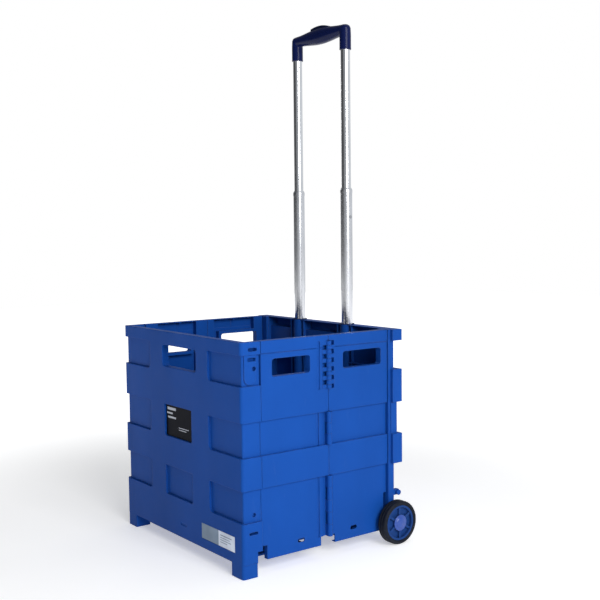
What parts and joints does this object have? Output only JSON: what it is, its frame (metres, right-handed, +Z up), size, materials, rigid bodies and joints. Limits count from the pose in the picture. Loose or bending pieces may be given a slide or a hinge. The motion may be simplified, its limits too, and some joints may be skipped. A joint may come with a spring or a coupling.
{
  "type": "folding crate trolley",
  "caption": "Folding plastic crate on wheels with a two-stage telescopic handle, hinged sides that fold inward and a base that lifts",
  "frame": {"origin": "middle of the footprint on the floor, under the centre of the whole object's box, wheels and handle included", "axes": "+Z up, +Y towards the wheels and handle, +X to the right when looking at the front wall"},
  "size_m": [0.4766, 0.38, 1],
  "materials": {
    "crate_plastic": "satin moulded blue, fine grain",
    "base_plastic": "satin moulded blue",
    "plated_steel": "zinc plated",
    "label_black": "printed film, gloss",
    "sticker_grey": "paper sticker",
    "sticker_white": "paper sticker",
    "lower_tube": "bright drawn tube",
    "upper_tube": "bright drawn tube",
    "bush_plastic": "dark navy, satin gloss",
    "inner_plastic": "acetal, unpainted",
    "grip_plastic": "dark navy, glossy",
    "button_plastic": "dark navy, glossy",
    "snap_metal": "polished",
    "wheel_plastic": "blue, semi-gloss",
    "tyre_rubber": "moulded tread-less tyre",
    "hub_cap": "blue, high gloss"
  },
  "bodies": {
    "root": {"back_panel": "crate_plastic", "rim_bush_right": "bush_plastic", "rim_bush_left": "bush_plastic", "tube_plug_right": "inner_plastic", "tube_plug_left": "inner_plastic", "wheel_bracket_right": "crate_plastic", "wheel_bracket_left": "crate_plastic", "bracket_screws": "plated_steel", "axle_right": "plated_steel", "axle_left": "plated_steel", "axle_washer_right": "plated_steel", "axle_washer_left": "plated_steel", "axle_clip_right": "plated_steel", "axle_clip_left": "plated_steel", "base_pins": "plated_steel"},
    "rear_right": {"rear_side_right": "crate_plastic", "rear_corner_pins_right": "plated_steel", "fold_pins_right": "plated_steel"},
    "front_right": {"front_side_right": "crate_plastic", "front_corner_pins_right": "plated_steel"},
    "front": {"front_panel": "crate_plastic", "front_plate": "label_black", "sticker_grey": "sticker_grey", "sticker_white": "sticker_white"},
    "rear_left": {"rear_side_left": "crate_plastic", "rear_corner_pins_left": "plated_steel", "fold_pins_left": "plated_steel"},
    "front_left": {"front_side_left": "crate_plastic", "front_corner_pins_left": "plated_steel"},
    "base": {"base_panel": "base_plastic"},
    "lower_stage": {"lower_tube_right": "lower_tube", "lower_tube_left": "lower_tube", "lower_bush_right": "inner_plastic", "lower_bush_left": "inner_plastic", "tube_collar_right": "lower_tube", "tube_collar_left": "lower_tube"},
    "upper_stage": {"upper_tube_right": "upper_tube", "upper_tube_left": "upper_tube", "upper_bush_right": "inner_plastic", "upper_bush_left": "inner_plastic", "grip": "grip_plastic"},
    "button": {"grip_button": "button_plastic"},
    "snap_right": {"snap_button_right": "snap_metal"},
    "snap_left": {"snap_button_left": "snap_metal"},
    "wheel_right": {"wheel_rim_right": "wheel_plastic", "tyre_right": "tyre_rubber", "hub_cap_right": "hub_cap"},
    "wheel_left": {"wheel_rim_left": "wheel_plastic", "tyre_left": "tyre_rubber", "hub_cap_left": "hub_cap"}
  },
  "joints": [
    {"name": "crate_fold", "type": "hinge", "parent": "root", "child": "rear_right", "pos_m": [0.197, 0.125, 0.2], "axis": [0, 0, -1], "range_deg": [0, 90]},
    {"name": "fold_middle_right", "type": "hinge", "parent": "rear_right", "child": "front_right", "pos_m": [0.212, -0.003, 0.2], "axis": [0, 0, 1], "range_deg": [0, 180]},
    {"name": "fold_front", "type": "hinge", "parent": "front_right", "child": "front", "pos_m": [0.197, -0.131, 0.2], "axis": [0, 0, -1], "range_deg": [0, 90]},
    {"name": "fold_left", "type": "hinge", "parent": "root", "child": "rear_left", "pos_m": [-0.197, 0.125, 0.2], "axis": [0, 0, 1], "range_deg": [0, 90]},
    {"name": "fold_middle_left", "type": "hinge", "parent": "rear_left", "child": "front_left", "pos_m": [-0.212, -0.003, 0.2], "axis": [0, 0, -1], "range_deg": [0, 180]},
    {"name": "base_lift", "type": "hinge", "parent": "root", "child": "base", "pos_m": [0, 0.132, 0.019], "axis": [-1, 0, 0], "range_deg": [0, 90]},
    {"name": "lower_slide", "type": "slide", "parent": "root", "child": "lower_stage", "axis": [0, 0, -1], "range_m": [0, 0.255]},
    {"name": "upper_slide", "type": "slide", "parent": "lower_stage", "child": "upper_stage", "axis": [0, 0, -1], "range_m": [0, 0.264]},
    {"name": "button_press", "type": "slide", "parent": "upper_stage", "child": "button", "axis": [0, 0, -1], "range_m": [0, 0.0035], "stiffness_N_per_m": 800},
    {"name": "snap_press_right", "type": "slide", "parent": "lower_stage", "child": "snap_right", "axis": [-1, 0, 0], "range_m": [0, 0.0008], "stiffness_N_per_m": 600},
    {"name": "snap_press_left", "type": "slide", "parent": "lower_stage", "child": "snap_left", "axis": [1, 0, 0], "range_m": [0, 0.0008], "stiffness_N_per_m": 600},
    {"name": "wheel_spin_right", "type": "hinge", "parent": "root", "child": "wheel_right", "pos_m": [0.225, 0.149, 0.041], "axis": [1, 0, 0], "continuous": true},
    {"name": "wheel_spin_left", "type": "hinge", "parent": "root", "child": "wheel_left", "pos_m": [-0.225, 0.149, 0.041], "axis": [1, 0, 0], "continuous": true}
  ],
  "couplings": [
    {"joint": "fold_middle_right", "follows": "crate_fold", "ratio": 2},
    {"joint": "fold_front", "follows": "crate_fold", "ratio": 1},
    {"joint": "fold_left", "follows": "crate_fold", "ratio": 1},
    {"joint": "fold_middle_left", "follows": "crate_fold", "ratio": 2}
  ]
}
